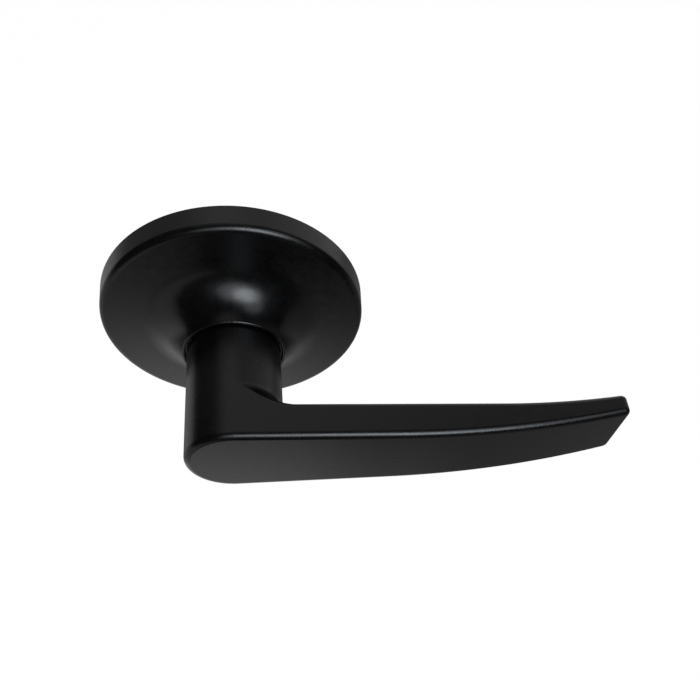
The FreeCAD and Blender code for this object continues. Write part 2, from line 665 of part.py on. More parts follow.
def spring_driver():
    """The stamped plate on the tube: a stop arm on one side, a bent tab for the spring."""
    plate = drum(DRIVER_HUB_DIAMETER / 2, DRIVER_BACK, DRIVER_FRONT)
    arm = block(-DRIVER_ARM_REACH, 0.0, DRIVER_BACK, DRIVER_FRONT,
                -DRIVER_ARM_HALF_WIDTH, DRIVER_ARM_HALF_WIDTH)
    foot = block(0.0, DRIVER_TAB_OUTER_RADIUS, DRIVER_BACK, DRIVER_FRONT,
                 -LUG_HALF_WIDTH, LUG_HALF_WIDTH)
    tab = block(DRIVER_TAB_INNER_RADIUS, DRIVER_TAB_OUTER_RADIUS, DRIVER_BACK,
                CHAMBER_FLOOR - LOOSE_FIT, -LUG_HALF_WIDTH, LUG_HALF_WIDTH)
    plate = plate.fuse(arm).fuse(foot).fuse(tab)
    hole = drum(TUBE_RADIUS + LOCATING_FIT, DRIVER_BACK - OVERRUN, DRIVER_FRONT + OVERRUN)
    hole = hole.cut(driver_flats(2 * TUBE_RADIUS, LOCATING_FIT))
    return single(plate.cut(hole))


def return_spring():
    """The flat-wire coil that centres the lever: two turns and a leg at each end."""
    inner = SPRING_INNER_DIAMETER / 2
    outer = inner + SPRING_STRIP_WIDTH
    half = LUG_HALF_WIDTH + FREE_GAP
    leg_turn = math.degrees(math.asin((half + SPRING_STRIP_WIDTH / 2) / (inner + SPRING_STRIP_WIDTH / 2)))
    sweep = 360.0 * SPRING_TURNS - 2 * leg_turn
    section = loop([
        polar(inner, leg_turn, SPRING_BACK),
        polar(outer, leg_turn, SPRING_BACK),
        polar(outer, leg_turn, SPRING_BACK + SPRING_STRIP_THICKNESS),
        polar(inner, leg_turn, SPRING_BACK + SPRING_STRIP_THICKNESS),
    ])
    height = SPRING_PITCH * sweep / 360.0
    helix = Part.makeHelix(SPRING_PITCH, height, inner)
    helix.rotate(Vector(0, 0, 0), Vector(1, 0, 0), 90)
    helix.translate(Vector(0, -SPRING_BACK, 0))
    helix = turned_copy(helix, leg_turn)
    spring = Part.Wire(helix.Edges).makePipeShell([section], True, True)
    root = inner * math.cos(math.radians(leg_turn)) - JOIN_DEPTH
    low = block(root, SPRING_LEG_REACH, SPRING_BACK - SPRING_LEG_SWELL,
                SPRING_BACK + SPRING_STRIP_THICKNESS + SPRING_LEG_SWELL, half, half + SPRING_STRIP_WIDTH)
    high = low.copy()
    high.translate(Vector(0, -height, -2 * half - SPRING_STRIP_WIDTH))
    return single(spring.fuse(low).fuse(high))


def front_bushing():
    """The flanged bearing between the cage and the tube."""
    sleeve = ring(BUSHING_BORE_RADIUS, BUSHING_RADIUS, BUSHING_BACK, COLLAR_HEIGHT)
    flange = ring(BUSHING_BORE_RADIUS, BUSHING_FLANGE_RADIUS, BUSHING_BACK, CHAMBER_FLOOR)
    return single(sleeve.fuse(flange))


def collar_ring():
    """The plastic ring that keeps the neck central in the rose's lip."""
    bore = COLLAR_RING_BORE_RADIUS
    body = ring(bore, bore + COLLAR_RING_FLANGE_WIDTH, COLLAR_HEIGHT,
                COLLAR_HEIGHT + COLLAR_RING_FLANGE_THICKNESS)
    body = body.fuse(ring(bore, bore + COLLAR_RING_WALL, COLLAR_HEIGHT,
                          ROSE_HEIGHT - COLLAR_RING_WALL_DROP))
    return single(body.fuse(ring(bore, bore + COLLAR_RING_LIP_WALL, COLLAR_HEIGHT,
                                 ROSE_HEIGHT - COLLAR_RING_LIP_DROP)))


def rose_clip(turn_deg):
    """A bent spring strip: the foot lies in the cage's face, the bow presses on the rose."""
    wall = CLIP_WALL_RADIUS
    bulge = ROSE_RADIUS - ROSE_WALL - ROSE_RIM_DRAFT - FREE_GAP
    foot = wall - CLIP_FOOT_LENGTH
    outline = [
        (foot, CLIP_TOP - CLIP_STRIP),
        (wall, CLIP_TOP - CLIP_STRIP),
        (bulge - CLIP_STRIP, CLIP_BEND_DEPTH),
        (wall, CLIP_TAIL_DEPTH),
        (wall + CLIP_STRIP, CLIP_TAIL_DEPTH),
        (bulge, CLIP_BEND_DEPTH),
        (wall + CLIP_STRIP, CLIP_TOP),
        (foot, CLIP_TOP),
    ]
    points = [Vector(radius, -out, -CLIP_WIDTH / 2) for radius, out in outline]
    strip = Part.Face(loop(points)).extrude(Vector(0, 0, CLIP_WIDTH))
    strip = strip.cut(drum(RIVET_SHANK_DIAMETER / 2 + LOCATING_FIT, 0.0, CAGE_DEPTH + OVERRUN,
                           CLIP_RIVET_RADIUS))
    return turned_copy(strip, turn_deg)


def clip_seat(turn_deg):
    """The shallow seat of one clip's foot, with its rivet hole."""
    half = CLIP_WIDTH / 2 + LOOSE_FIT
    seat = block(CLIP_WALL_RADIUS - CLIP_FOOT_LENGTH - LOOSE_FIT, CLIP_WALL_RADIUS + OVERRUN,
                 CLIP_TOP - CLIP_STRIP, CAGE_DEPTH + OVERRUN, -half, half)
    hole = drum(RIVET_SHANK_DIAMETER / 2 + LOCATING_FIT, CAGE_DEPTH - RIVET_LENGTH - END_GAP,
                CAGE_DEPTH + OVERRUN, CLIP_RIVET_RADIUS)
    return turned_copy(seat.fuse(hole), turn_deg)


def clip_rivets():
    """The rivets of the three clips, as separate solids of one group."""
    shank = drum(RIVET_SHANK_DIAMETER / 2, CAGE_DEPTH - RIVET_LENGTH, CLIP_TOP, CLIP_RIVET_RADIUS)
    head = drum(RIVET_HEAD_DIAMETER / 2, CLIP_TOP, CLIP_TOP + RIVET_HEAD_THICKNESS, CLIP_RIVET_RADIUS)
    rivet = single(shank.fuse(head))
    return Part.makeCompound([turned_copy(rivet, turn) for turn in clip_turns()])


def catch_axis(radius, low, high):
    """A cylinder on the catch's own axis, between two distances below the turning axis."""
    return Part.makeCylinder(radius, high - low, Vector(0, -CATCH_DEPTH, -low), Vector(0, 0, -1))


def catch_holder():
    """The plug in the tube that guides the catch and closes the end of its spring's hole."""
    half = HOLDER_LENGTH / 2
    plug = drum(HOLDER_RADIUS, CATCH_DEPTH - half, CATCH_DEPTH + half)
    floor = HOLDER_RADIUS - HOLDER_END_WALL
    return single(plug.cut(catch_axis(CATCH_FLANGE_RADIUS + LOOSE_FIT, -floor, TUBE_RADIUS)))


def lever_catch():
    """The sprung plunger that holds the lever on the tube, pressed in through the neck's hole."""
    head = catch_axis(CATCH_HEAD_DIAMETER / 2, CATCH_FLANGE_TOP, CATCH_TIP_RADIUS)
    tip = edges_where(head, lambda p: abs(p.z + CATCH_TIP_RADIUS) < TOUCH)
    head = head.makeChamfer(CATCH_TIP_CHAMFER, tip)
    flange = catch_axis(CATCH_FLANGE_RADIUS, CATCH_FLANGE_TOP, CATCH_FLANGE_LOW)
    return single(head.fuse(flange))


def catch_spring():
    """The coil spring between the catch's flange and the end of the holder's hole."""
    wire_radius = CATCH_SPRING_WIRE / 2
    mean = CATCH_SPRING_DIAMETER / 2 - wire_radius
    seat = CATCH_FLANGE_TOP - FREE_GAP / 2 - wire_radius
    end = HOLDER_RADIUS - HOLDER_END_WALL - FREE_GAP / 2 - wire_radius
    height = seat + end
    helix = Part.makeHelix(height / CATCH_SPRING_COILS, height, mean)
    section = []
    for index in range(CATCH_SPRING_WIRE_SIDES):
        turn = 2 * math.pi * index / CATCH_SPRING_WIRE_SIDES
        section.append(Vector(mean + wire_radius * math.cos(turn), 0, wire_radius * math.sin(turn)))
    spring = Part.Wire(helix.Edges).makePipeShell([loop(section)], True, True)
    spring.translate(Vector(0, -CATCH_DEPTH, -seat))
    return single(spring)


def square_bar(across_flats, low, high):
    """A square bar on the turning axis, with a flat side up."""
    half = across_flats / 2
    return block(-half, half, low, high, -half, half)


def spindle_pin_hole():
    """The hole of the pin that crosses the tube, the hub and the spindle."""
    start = Vector(-TUBE_RADIUS - OVERRUN, -SPINDLE_PIN_DEPTH, 0)
    return Part.makeCylinder(SPINDLE_PIN_DIAMETER / 2 + LOCATING_FIT, 2 * (TUBE_RADIUS + OVERRUN),
                             start, Vector(1, 0, 0))


def spindle_hub():
    """The plug in the tube's back that grips the square spindle."""
    hub = drum(HOLDER_RADIUS, SPINDLE_HUB_BACK, SPINDLE_HUB_FRONT)
    hub = hub.cut(square_bar(SPINDLE_ACROSS_FLATS + 2 * LOCATING_FIT,
                             SPINDLE_HUB_BACK - OVERRUN, SPINDLE_HUB_FRONT + OVERRUN))
    return single(hub.cut(spindle_pin_hole()))


def drive_spindle():
    """The square spindle that reaches back through the latch, with its end chamfered."""
    bar = square_bar(SPINDLE_ACROSS_FLATS, -SPINDLE_BACK, SPINDLE_HUB_FRONT - FREE_GAP)
    bar = bar.makeChamfer(SPINDLE_CHAMFER, edges_where(bar, lambda p: abs(p.y - SPINDLE_BACK) < TOUCH))
    return single(bar.cut(spindle_pin_hole()))


def spindle_pin():
    """The straight pin through the tube, the hub and the spindle."""
    half = TUBE_RADIUS - FREE_GAP
    pin = Part.makeCylinder(SPINDLE_PIN_DIAMETER / 2, 2 * half,
                            Vector(-half, -SPINDLE_PIN_DEPTH, 0), Vector(1, 0, 0))
    return pin.makeChamfer(SPINDLE_PIN_CHAMFER, edges_where(pin, lambda p: abs(abs(p.x) - half) < TOUCH))


def build():
    """Every piece of the trim by its name."""
    pieces = {
        "rose": rose(),
        "spring_cage": spring_cage(),
        "cage_cover": cage_cover(),
        "cover_screws": cover_screws(),
        "front_bushing": front_bushing(),
        "collar_ring": collar_ring(),
        "return_spring": return_spring(),
        "bolt_post_upper": bolt_post(1),
        "bolt_post_lower": bolt_post(-1),
        "clip_rivets": clip_rivets(),
        "lever_handle": lever_handle(),
        "drive_tube": drive_tube(),
        "spring_driver": spring_driver(),
        "retaining_ring": retaining_ring(),
        "catch_holder": catch_holder(),
        "lever_catch": lever_catch(),
        "catch_spring": catch_spring(),
        "spindle_hub": spindle_hub(),
        "drive_spindle": drive_spindle(),
        "spindle_pin": spindle_pin(),
    }
    for index, turn in enumerate(clip_turns()):
        pieces["rose_clip_%d" % (index + 1)] = rose_clip(turn)
    return pieces


os.makedirs("parts", exist_ok=True)
for name, shape in build().items():
    if not shape.isValid():
        raise ValueError(name + " is not a valid solid")
    shape.exportStep(os.path.join("parts", name + ".step"))
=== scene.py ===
"""Looks of a door lever trim: finishes for every part, small threads, studio and camera.

Lengths are metres in the part's own frame: -Y points out from the door towards the user, +X runs
along the lever's blade and +Z is up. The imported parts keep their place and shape. This script
dresses them, adds what is too fine for them, and sets up the light and the view.
"""

import json
import logging
import math
from dataclasses import dataclass
from enum import Enum
from typing import Sequence

import bpy
from mathutils import Matrix, Vector


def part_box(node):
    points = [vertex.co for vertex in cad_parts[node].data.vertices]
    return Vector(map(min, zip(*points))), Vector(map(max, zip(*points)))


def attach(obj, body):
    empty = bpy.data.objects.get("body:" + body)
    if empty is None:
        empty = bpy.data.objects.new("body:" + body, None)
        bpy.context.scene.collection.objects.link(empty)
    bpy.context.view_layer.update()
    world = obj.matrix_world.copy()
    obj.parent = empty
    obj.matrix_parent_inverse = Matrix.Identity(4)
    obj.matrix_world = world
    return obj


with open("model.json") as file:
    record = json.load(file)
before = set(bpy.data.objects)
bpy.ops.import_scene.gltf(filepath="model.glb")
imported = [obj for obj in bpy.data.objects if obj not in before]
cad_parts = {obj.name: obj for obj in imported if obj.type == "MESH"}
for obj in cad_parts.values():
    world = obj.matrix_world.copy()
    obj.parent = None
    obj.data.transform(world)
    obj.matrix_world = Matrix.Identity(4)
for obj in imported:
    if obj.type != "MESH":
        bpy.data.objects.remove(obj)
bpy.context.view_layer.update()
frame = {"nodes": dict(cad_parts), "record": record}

LOG = logging.getLogger("lever_trim")
Colour = tuple[float, float, float]
Place = tuple[float, float, float]
Socket = bpy.types.NodeSocket
WHITE = (1.0, 1.0, 1.0, 1.0)


class Slot(Enum):
    """The record's material slots."""

    COAT = "satin_black_coat"
    CAST_ZINC = "cast_zinc"
    PLATED_STEEL = "zinc_plated_steel"
    SPRING_STEEL = "spring_steel"
    BRONZE = "sintered_bronze"
    NYLON = "black_nylon"


class Board:
    """A node tree with short calls to add nodes and join them."""

    def __init__(self, tree: bpy.types.NodeTree) -> None:
        """Works on a node tree.

        Args:
            tree: The tree of a material or a world.
        """
        self.tree = tree

    def add(self, kind: str, **sockets: float | Sequence[float]) -> bpy.types.Node:
        """Adds a node and sets its input sockets by name.

        Args:
            kind: The node's type.
            **sockets: Values of input sockets, with _ for a space in the name.

        Returns:
            The new node.
        """
        node = self.tree.nodes.new(kind)
        self.set_sockets(node, sockets)
        return node

    @staticmethod
    def set_sockets(node: bpy.types.Node, sockets: dict[str, float | Sequence[float]]) -> None:
        """Sets a node's input sockets from their names, with _ for a space, and values."""
        for name, value in sockets.items():
            node.inputs[name.replace("_", " ")].default_value = value

    def join(self, source: Socket, target: Socket) -> None:
        """Links an output to an input."""
        self.tree.links.new(source, target)

    def feed(self, value: Socket | float, target: Socket) -> None:
        """Gives an input a fixed number, or links it to an output.

        Args:
            value: The number or the output.
            target: The input.
        """
        if isinstance(value, Socket):
            self.join(value, target)
        else:
            target.default_value = value

    def combine(self, operation: str, first: Socket | float, second: Socket | float) -> Socket:
        """Combines two values by a math node.

        Args:
            operation: The math node's operation.
            first: The first value.
            second: The second value.

        Returns:
            The result.
        """
        node = self.add("ShaderNodeMath")
        node.operation = operation
        self.feed(first, node.inputs[0])
        self.feed(second, node.inputs[1])
        return node.outputs[0]

    def spread(self, value: Socket, low: float, high: float, start: float = 0.3,
               end: float = 0.7, eased: bool = False) -> Socket:
        """Spreads a value's stretch from start to end over low to high, and clamps it there.

        Args:
            value: The value.
            low: The result at and before the start.
            high: The result at and past the end.
            start: Where the stretch starts.
            end: Where it ends.
            eased: Whether the result eases in and out.

        Returns:
            The result.
        """
        node = self.add("ShaderNodeMapRange", From_Min=start, From_Max=end, To_Min=low, To_Max=high)
        node.interpolation_type = "SMOOTHSTEP" if eased else "LINEAR"
        self.join(value, node.inputs["Value"])
        return node.outputs["Result"]

    def measured(self, operation: str, place: Socket, other: Place) -> Socket:
        """A number that a vector node gives for a place and a fixed vector.

        Args:
            operation: The vector node's operation, such as DISTANCE.
            place: The place or direction.
            other: The fixed vector.

        Returns:
            The number.
        """
        node = self.add("ShaderNodeVectorMath")
        node.operation = operation
        self.join(place, node.inputs[0])
        node.inputs[1].default_value = other
        return node.outputs["Value"]

    def rays(self, *kinds: str) -> Socket:
        """A mask of rays by their kind.

        Args:
            *kinds: The kinds, named as Light Path's outputs.

        Returns:
            1 for rays of any of the kinds, and 0 for others.
        """
        path = self.add("ShaderNodeLightPath")
        total = path.outputs[kinds[0]]
        for kind in kinds[1:]:
            total = self.combine("MAXIMUM", total, path.outputs[kind])
        return total

    def masked(self, brightness: Socket, mask: Socket) -> Socket:
        """A brightness where a mask is 1, and 1 where the mask is 0.

        Args:
            brightness: The brightness.
            mask: The mask.

        Returns:
            The masked brightness.
        """
        change = self.combine("MULTIPLY", self.combine("SUBTRACT", brightness, 1.0), mask)
        return self.combine("ADD", change, 1.0)

    def mixed(self, share: Socket, first: Socket, second: Socket) -> Socket:
        """Two shaders mixed.

        Args:
            share: How much of the second one shows, from 0 to 1.
            first: The first shader.
            second: The second shader.

        Returns:
            The mixed shader.
        """
        node = self.add("ShaderNodeMixShader")
        self.join(share, node.inputs[0])
        self.join(first, node.inputs[1])
        self.join(second, node.inputs[2])
        return node.outputs[0]


class Finish(Board):
    """A material's node tree: one shader, and the patterns that feed it."""

    def __init__(self, name: str) -> None:
        """Starts a material that holds one shader and its output.

        Args:
            name: The material's name.
        """
        self.material = bpy.data.materials.new(name)
        self.material.use_nodes = True
        super().__init__(self.material.node_tree)
        self.shader = self.tree.nodes["Principled BSDF"]
        self.place = self.add("ShaderNodeTexCoord").outputs["Object"]

    def set(self, **sockets: float | Sequence[float]) -> None:
        """Sets sockets of the shader itself, for what is the same all over the surface."""
        self.set_sockets(self.shader, sockets)

    def stretched(self, scale: Sequence[float]) -> Socket:
        """The object's coordinates with each axis stretched.

        Args:
            scale: Each axis's factor.

        Returns:
            The stretched coordinates.
        """
        mapping = self.add("ShaderNodeMapping", Scale=scale)
        self.join(self.place, mapping.inputs["Vector"])
        return mapping.outputs["Vector"]

    def noise(self, grain: float, detail: float = 3.0, roughness: float = 0.5,
              stretch: Sequence[float] = (1.0, 1.0, 1.0)) -> Socket:
        """Noise whose lumps are about one grain wide.

        Args:
            grain: The width of a lump in metres.
            detail: How many finer layers it holds.
            roughness: How strong the finer layers are.
            stretch: Factor on each axis, below 1 for longer streaks along it.

        Returns:
            The noise's value, about 0.5 on average.
        """
        node = self.add("ShaderNodeTexNoise", Scale=1.0 / grain, Detail=detail, Roughness=roughness)
        self.join(self.stretched(stretch), node.inputs["Vector"])
        return node.outputs["Fac"]

    def blend(self, share: Socket, first: Colour | Socket, second: Colour) -> Socket:
        """A colour between two, by a share from 0 to 1.

        Args:
            share: How much of the second colour shows.
            first: The colour at 0, or an output that gives it.
            second: The colour at 1.

        Returns:
            The blended colour.
        """
        node = self.add("ShaderNodeMix")
        node.data_type = "RGBA"
        # A Mix node's colours are its inputs 6 and 7 and its output 2.
        low, high = node.inputs[6], node.inputs[7]
        if isinstance(first, Socket):
            self.join(first, low)
        else:
            low.default_value = (*first, 1.0)
        high.default_value = (*second, 1.0)
        self.join(share, node.inputs[0])
        return node.outputs[2]

    def specks(self, spacing: float, width: float, core: float = 0.7) -> Socket:
        """A mask of tiny round specks, one in each cell of a random pattern.

        Args:
            spacing: The mean distance between specks, in metres.
            width: A speck's width in metres.
            core: The share of its radius that is solid, before its soft edge.

        Returns:
            1 on a speck and 0 elsewhere.
        """
        cells = self.add("ShaderNodeTexVoronoi", Scale=1.0 / spacing)
        self.join(self.place, cells.inputs["Vector"])
        edge = width / spacing / 2
        return self.spread(cells.outputs["Distance"], 1.0, 0.0, edge * core, edge)

    def bump(self, height: Socket, depth: float) -> Socket:
        """A bumped normal from a height between 0 and 1.

        Args:
            height: The height.
            depth: How many metres 1 stands above 0.

        Returns:
            The bumped normal.
        """
        node = self.add("ShaderNodeBump", Distance=depth, Strength=1.0)
        self.join(height, node.inputs["Height"])
        return node.outputs["Normal"]

    def finish(self, colour: Socket, roughness: Socket, normal: Socket) -> bpy.types.Material:
        """Joins the patterns to the shader.

        Args:
            colour: The base colour.
            roughness: How dull the gloss is.
            normal: The bumped normal.

        Returns:
            The material.
        """
        self.join(colour, self.shader.inputs["Base Color"])
        self.join(roughness, self.shader.inputs["Roughness"])
        self.join(normal, self.shader.inputs["Normal"])
        return self.material


# In each finish, smooth and dull are its least and its greatest roughness. Lengths such as cloud,
# sand or grain are the widths of its noise's lumps, and a depth is the height of its relief.


@dataclass(frozen=True)
class SatinCoat:
    """The baked satin black coat on the rose and the lever."""

    dark: Colour = (0.0002, 0.0002, 0.0003)
    light: Colour = (0.0005, 0.0005, 0.0007)
    dust: Colour = (0.10, 0.10, 0.105)
    ior: float = 1.45
    smooth: float = 0.25
    dull: float = 0.31
    cloud: float = 0.012
    gloss_cloud: float = 0.003
    peel: float = 0.0007
    peel_depth: float = 0.0000022
    dust_spacing: float = 0.011
    dust_width: float = 0.00022

    def build(self) -> bpy.types.Material:
        """Makes the material: clouded black, fine peel in the gloss and a few dust specks.

        Returns:
            The material.
        """
        board = Finish("coat_satin_black")
        board.set(IOR=self.ior)
        clouds = board.noise(self.cloud)
        colour = board.blend(board.spread(clouds, 0.0, 1.0), self.dark, self.light)
        specks = board.specks(self.dust_spacing, self.dust_width)
        colour = board.blend(specks, colour, self.dust)
        gloss = board.spread(board.noise(self.gloss_cloud, detail=4.0), self.smooth, self.dull)
        peel = board.bump(board.noise(self.peel, detail=1.5), self.peel_depth)
        return board.finish(colour, gloss, peel)


@dataclass(frozen=True)
class CastMetal:
    """Bare as-cast zinc alloy: mottled, with a fine sandy skin."""

    dark: Colour = (0.30, 0.31, 0.33)
    light: Colour = (0.46, 0.47, 0.49)
    smooth: float = 0.38
    dull: float = 0.60
    mottle: float = 0.004
    gloss_cloud: float = 0.0009
    sand: float = 0.0003
    sand_depth: float = 0.00002

    def build(self) -> bpy.types.Material:
        """Makes the material.

        Returns:
            The material.
        """
        board = Finish("cast_zinc_skin")
        board.set(Metallic=1.0)
        mottle = board.spread(board.noise(self.mottle, detail=5.0), 0.0, 1.0)
        colour = board.blend(mottle, self.dark, self.light)
        gloss = board.spread(board.noise(self.gloss_cloud, detail=4.0), self.smooth, self.dull)
        skin = board.bump(board.noise(self.sand), self.sand_depth)
        return board.finish(colour, gloss, skin)


@dataclass(frozen=True)
class PlatedSteel:
    """Bright zinc plating over rolled or turned steel, with fine drawn scratches."""

    dark: Colour = (0.46, 0.48, 0.52)
    light: Colour = (0.66, 0.66, 0.64)
    tint: Colour = (0.60, 0.56, 0.44)
    tint_share: float = 0.45
    smooth: float = 0.22
    dull: float = 0.42
    cloud: float = 0.009
    tint_cloud: float = 0.0207
    scratch: float = 0.00025
    scratch_depth: float = 0.0000035
    stretch: tuple[float, float, float] = (0.06, 1.0, 1.0)

    def build(self) -> bpy.types.Material:
        """Makes the material: cool and warm clouds, long scratches in gloss and height.

        Returns:
            The material.
        """
        board = Finish("plated_steel_bright")
        board.set(Metallic=1.0)
        clouds = board.spread(board.noise(self.cloud, detail=4.0), 0.0, 1.0)
        colour = board.blend(clouds, self.dark, self.light)
        warm = board.noise(self.tint_cloud, detail=2.0)
        warm = board.spread(warm, 0.0, self.tint_share, start=0.5, end=0.75)
        colour = board.blend(warm, colour, self.tint)
        drawn = board.noise(self.scratch, stretch=self.stretch)
        gloss = board.spread(drawn, self.smooth, self.dull)
        return board.finish(colour, gloss, board.bump(drawn, self.scratch_depth))


@dataclass(frozen=True)
class SpringSteel:
    """Dark oil-tempered spring steel."""

    dark: Colour = (0.045, 0.042, 0.042)
    light: Colour = (0.13, 0.12, 0.115)
    smooth: float = 0.28
    dull: float = 0.48
    scale: float = 0.0016
    scale_depth: float = 0.000004

    def build(self) -> bpy.types.Material:
        """Makes the material.

        Returns:
            The material.
        """
        board = Finish("spring_steel_oiled")
        board.set(Metallic=1.0)
        patches = board.noise(self.scale, detail=5.0, roughness=0.6)
        colour = board.blend(board.spread(patches, 0.0, 1.0), self.dark, self.light)
        gloss = board.spread(patches, self.smooth, self.dull)
        return board.finish(colour, gloss, board.bump(patches, self.scale_depth))


@dataclass(frozen=True)
class SinteredBronze:
    """Porous sintered bronze, dark with oil in its pores."""

    dark: Colour = (0.19, 0.11, 0.055)
    light: Colour = (0.42, 0.28, 0.15)
    smooth: float = 0.36
    dull: float = 0.50
    pore: float = 0.00035
    pore_depth: float = 0.00002

    def build(self) -> bpy.types.Material:
        """Makes the material.

        Returns:
            The material.
        """
        board = Finish("sintered_bronze_oiled")
        board.set(Metallic=1.0)
        pores = board.noise(self.pore, detail=4.0, roughness=0.65)
        colour = board.blend(board.spread(pores, 0.0, 1.0), self.dark, self.light)
        gloss = board.spread(pores, self.dull, self.smooth)
        return board.finish(colour, gloss, board.bump(pores, self.pore_depth))


@dataclass(frozen=True)
class MouldedNylon:
    """Black nylon with the faint texture of its mould."""

    dark: Colour = (0.010, 0.010, 0.011)
    light: Colour = (0.020, 0.020, 0.022)
    ior: float = 1.5
    smooth: float = 0.42
    dull: float = 0.55
    gloss_cloud: float = 0.0024
    grain: float = 0.0004
    grain_depth: float = 0.000012

    def build(self) -> bpy.types.Material:
        """Makes the material.

        Returns:
            The material.
        """
        board = Finish("nylon_black")
        board.set(IOR=self.ior)
        texture = board.noise(self.grain, detail=2.0)
        colour = board.blend(board.spread(texture, 0.0, 1.0), self.dark, self.light)
        gloss = board.spread(board.noise(self.gloss_cloud), self.smooth, self.dull)
        return board.finish(colour, gloss, board.bump(texture, self.grain_depth))


FINISHES = {
    Slot.COAT: SatinCoat(),
    Slot.CAST_ZINC: CastMetal(),
    Slot.PLATED_STEEL: PlatedSteel(),
    Slot.SPRING_STEEL: SpringSteel(),
    Slot.BRONZE: SinteredBronze(),
    Slot.NYLON: MouldedNylon(),
}


class Paintbox:
    """Builds each finish once and gives it to parts by their slot."""

    def __init__(self) -> None:
        """Builds the material of every slot."""
        self.materials = {slot: finish.build() for slot, finish in FINISHES.items()}

    def dress(self, piece: bpy.types.Object, slot: Slot) -> None:
        """Puts a slot's material on all of a piece."""
        piece.data.materials.clear()
        piece.data.materials.append(self.materials[slot])

    def dress_frame(self) -> None:
        """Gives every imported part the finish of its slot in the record."""
        for row in frame["record"]["subparts"]:
            node = frame["nodes"][row["node"]]
            slot = Slot(row["material_slot"])
            for place in node.material_slots:
                place.material = self.materials[slot]
            LOG.info("part %s wears %s", row["node"], slot.value)


def deselect_all() -> None:
    """Leaves no object selected, so that an operator acts on new pieces alone."""
    bpy.ops.object.select_all(action="DESELECT")


def pick(piece: bpy.types.Object) -> None:
    """Selects one piece alone and makes it active.

    Args:
        piece: The piece.
    """
    deselect_all()
    piece.select_set(True)
    bpy.context.view_layer.objects.active = piece


def settle(piece: bpy.types.Object) -> None:
    """Moves a piece's place into its mesh, so that its object lies at the origin."""
    pick(piece)
    bpy.ops.object.transform_apply(location=True, rotation=True, scale=True)


def apply_modifier(piece: bpy.types.Object, kind: str, **values: float | int | bool | str) -> None:
    """Adds a modifier to a piece, sets it and applies it.

    Args:
        piece: The piece.
        kind: The modifier's type.
        **values: The modifier's settings by name.
    """
    pick(piece)
    modifier = piece.modifiers.new(kind.lower(), kind)
    for name, value in values.items():
        setattr(modifier, name, value)
    bpy.ops.object.modifier_apply(modifier=modifier.name)


@dataclass
class PostThread:
    """The ridge of the female thread in one bolt post."""

    node: str
    bore_radius: float = 0.0021
    ridge: float = 0.00033
    ridge_flatness: float = 0.75
    ridge_standout: float = 0.45
    pitch: float = 0.00079
    lead_in: float = 0.0006
    depth: float = 0.0085
    steps: int = 36
    merge_gap: float = 1e-7
    crease_deg: float = 30.0

    def build(self, paint: Paintbox) -> bpy.types.Object:
        """Models the ridge as a small triangle that screws into the bore.

        Args:
            paint: Where the finish comes from.

        Returns:
            The thread's object.
        """
        low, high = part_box(self.node)
        axis = Vector(((low.x + high.x) / 2, high.y - self.lead_in, (low.z + high.z) / 2))
        deselect_all()
        bpy.ops.mesh.primitive_circle_add(vertices=3, radius=self.ridge, fill_type="NGON")
        thread = bpy.context.active_object
        thread.name = self.node + "_thread"
        bpy.ops.object.mode_set(mode="EDIT")
        bpy.ops.mesh.select_all(action="SELECT")
        bpy.ops.transform.rotate(value=math.radians(90), orient_axis="Z", center_override=(0, 0, 0))
        bpy.ops.transform.resize(value=(1.0, self.ridge_flatness, 1.0), center_override=(0, 0, 0))
        inset = self.bore_radius - self.ridge * self.ridge_standout
        bpy.ops.transform.translate(value=(-inset, 0.0, 0.0))
        bpy.ops.object.mode_set(mode="OBJECT")
        turns = round(self.depth / self.pitch)
        steps = self.steps * turns
        apply_modifier(thread, "SCREW", axis="Y", angle=2 * math.pi * turns,
                       screw_offset=-self.pitch * turns, steps=steps, render_steps=steps,
                       use_merge_vertices=True)
        thread.location = axis
        settle(thread)
        self.clean(thread)
        paint.dress(thread, Slot.PLATED_STEEL)
        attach(thread, "trim")
        return thread

    def clean(self, thread: bpy.types.Object) -> None:
        """Merges doubles, closes the ends and turns the normals outwards.

        Args:
            thread: The thread's object.
        """
        pick(thread)
        bpy.ops.object.mode_set(mode="EDIT")
        bpy.ops.mesh.select_all(action="SELECT")
        bpy.ops.mesh.remove_doubles(threshold=self.merge_gap)
        bpy.ops.mesh.fill_holes(sides=0)
        bpy.ops.mesh.normals_make_consistent(inside=False)
        bpy.ops.object.mode_set(mode="OBJECT")
        bpy.ops.object.shade_smooth_by_angle(angle=math.radians(self.crease_deg))


